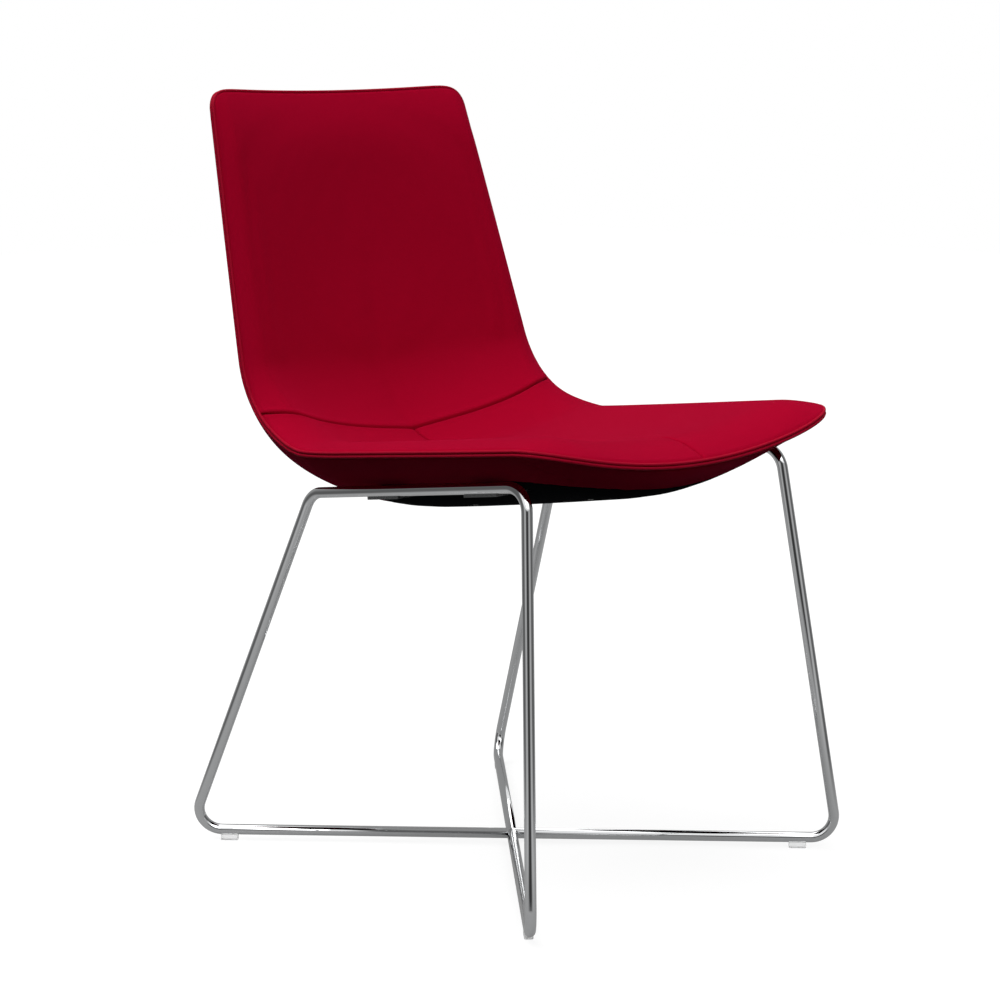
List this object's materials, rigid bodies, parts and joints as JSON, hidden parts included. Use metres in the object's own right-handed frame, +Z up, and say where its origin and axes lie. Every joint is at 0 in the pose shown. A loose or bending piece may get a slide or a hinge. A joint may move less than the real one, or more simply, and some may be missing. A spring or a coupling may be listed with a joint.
{
  "type": "guest chair",
  "caption": "Armless guest chair with a padded one-piece bucket shell, sewn edge and seams, a black pan under the seat and a sled base of bent chromed rod.",
  "frame": {"origin": "on the floor, at the middle of the chair's outline seen from above", "axes": "+Z up; the sitter faces -Y; +X is at the sitter's left"},
  "size_m": [0.4674, 0.5567, 0.7921],
  "materials": {
    "chromed_rod": "polished chrome plate on steel rod",
    "chromed_tab": "chrome plate on steel sheet",
    "clear_glide": "clear moulded plastic",
    "plywood": "moulded plywood, unfinished",
    "foam": "open-cell foam",
    "upholstery": "fine crimson upholstery with sewn edges",
    "pan_plastic": "black moulded plastic",
    "spacer_plastic": "black moulded plastic",
    "fastener": "zinc-plated steel"
  },
  "bodies": {
    "root": {"frame_loop_right": "chromed_rod", "frame_loop_left": "chromed_rod", "glide_front_right": "clear_glide", "glide_front_left": "clear_glide", "glide_rear_right": "clear_glide", "glide_rear_left": "clear_glide", "mount_tab_front_right": "chromed_tab", "mount_tab_front_left": "chromed_tab", "mount_tab_rear_right": "chromed_tab", "mount_tab_rear_left": "chromed_tab", "inner_shell": "plywood", "seat_foam": "foam", "back_foam": "foam", "outer_foam": "foam", "seat_cover_left": "upholstery", "seat_cover_right": "upholstery", "back_cover": "upholstery", "outer_cover": "upholstery", "belly_pan": "pan_plastic", "pan_screws": "fastener", "mount_spacers": "spacer_plastic", "tee_nuts": "fastener", "mount_bolts": "fastener", "mount_washers": "fastener"}
  },
  "joints": []
}
